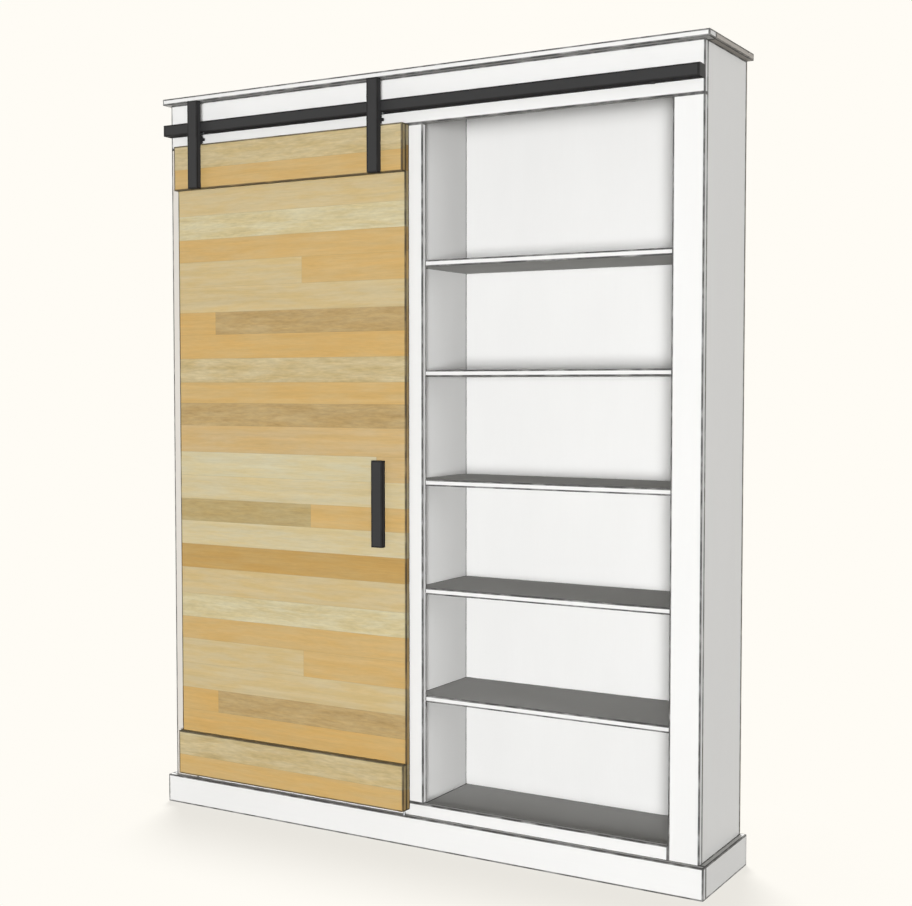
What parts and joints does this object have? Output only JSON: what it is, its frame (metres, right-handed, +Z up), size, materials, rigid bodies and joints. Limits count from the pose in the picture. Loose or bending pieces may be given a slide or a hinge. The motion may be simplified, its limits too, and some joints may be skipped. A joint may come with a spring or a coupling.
{
  "type": "barn door cabinet",
  "caption": "Tall white open shelf cabinet with a wooden door that hangs from a dark track and slides across the front to cover either side.",
  "frame": {"origin": "on the floor, in the middle of the whole object's width and depth", "axes": "+X to the right seen from the front, +Y to the back, +Z up"},
  "size_m": [1.854, 0.3834, 2.286],
  "materials": {
    "white_paint": "satin white paint on boards",
    "door_wood": "clear matt lacquer on edge-glued staves",
    "greige_oak": "limed oak, matt",
    "dowel_wood": "bare beech",
    "black_steel": "matt dark powder coat",
    "black_plastic": "matt",
    "wheel_nylon": "smooth nylon",
    "zinc_steel": "bright zinc plate"
  },
  "bodies": {
    "cabinet": {"back_panel_screws": "zinc_steel", "base_front": "white_paint", "base_left": "white_paint", "base_right": "white_paint", "bottom_rail": "white_paint", "centre_partition": "white_paint", "centre_stile": "white_paint", "guide_pin": "zinc_steel", "header_rail": "white_paint", "left_back_panel": "white_paint", "left_bottom_shelf": "white_paint", "left_shelf_1": "white_paint", "left_shelf_2": "white_paint", "left_shelf_3": "white_paint", "left_shelf_4": "white_paint", "left_shelf_5": "white_paint", "left_side": "white_paint", "left_stile": "white_paint", "left_track_cap": "black_plastic", "left_track_stop": "black_plastic", "left_wall_rail": "white_paint", "rail_dowels": "dowel_wood", "right_back_panel": "white_paint", "right_bottom_shelf": "white_paint", "right_shelf_1": "white_paint", "right_shelf_2": "white_paint", "right_shelf_3": "white_paint", "right_shelf_4": "white_paint", "right_shelf_5": "white_paint", "right_side": "white_paint", "right_stile": "white_paint", "right_track_cap": "black_plastic", "right_track_stop": "black_plastic", "right_wall_rail": "white_paint", "stile_dowels": "dowel_wood", "stop_screws": "black_steel", "top_board": "greige_oak", "top_front_strip": "white_paint", "top_screws": "zinc_steel", "track": "black_steel", "track_nuts": "zinc_steel", "track_studs": "zinc_steel", "track_washers": "zinc_steel"},
    "door": {"door_panel": "door_wood", "door_top_trim": "door_wood", "door_bottom_trim": "door_wood", "trim_screws": "zinc_steel", "handle_bar": "black_steel", "handle_screws": "zinc_steel", "left_hanger": "black_steel", "right_hanger": "black_steel", "hanger_screws": "zinc_steel", "left_trolley_block": "zinc_steel", "right_trolley_block": "zinc_steel", "trolley_axles": "zinc_steel", "pendant_bolts": "black_steel", "pendant_nuts": "black_steel"},
    "left_wheels": {"left_trolley_wheels": "wheel_nylon"},
    "right_wheels": {"right_trolley_wheels": "wheel_nylon"}
  },
  "joints": [
    {"name": "door_slide", "type": "slide", "parent": "cabinet", "child": "door", "axis": [1, 0, 0], "range_m": [0, 0.8355]},
    {"name": "left_wheels_roll", "type": "hinge", "parent": "door", "child": "left_wheels", "pos_m": [-0.7715, -0.1512, 2.1793], "axis": [0, 1, 0], "continuous": true},
    {"name": "right_wheels_roll", "type": "hinge", "parent": "door", "child": "right_wheels", "pos_m": [-0.092, -0.1512, 2.1793], "axis": [0, 1, 0], "continuous": true}
  ],
  "couplings": [
    {"joint": "left_wheels_roll", "follows": "door_slide", "rad_per_m": 76.923},
    {"joint": "right_wheels_roll", "follows": "door_slide", "rad_per_m": 76.923}
  ]
}
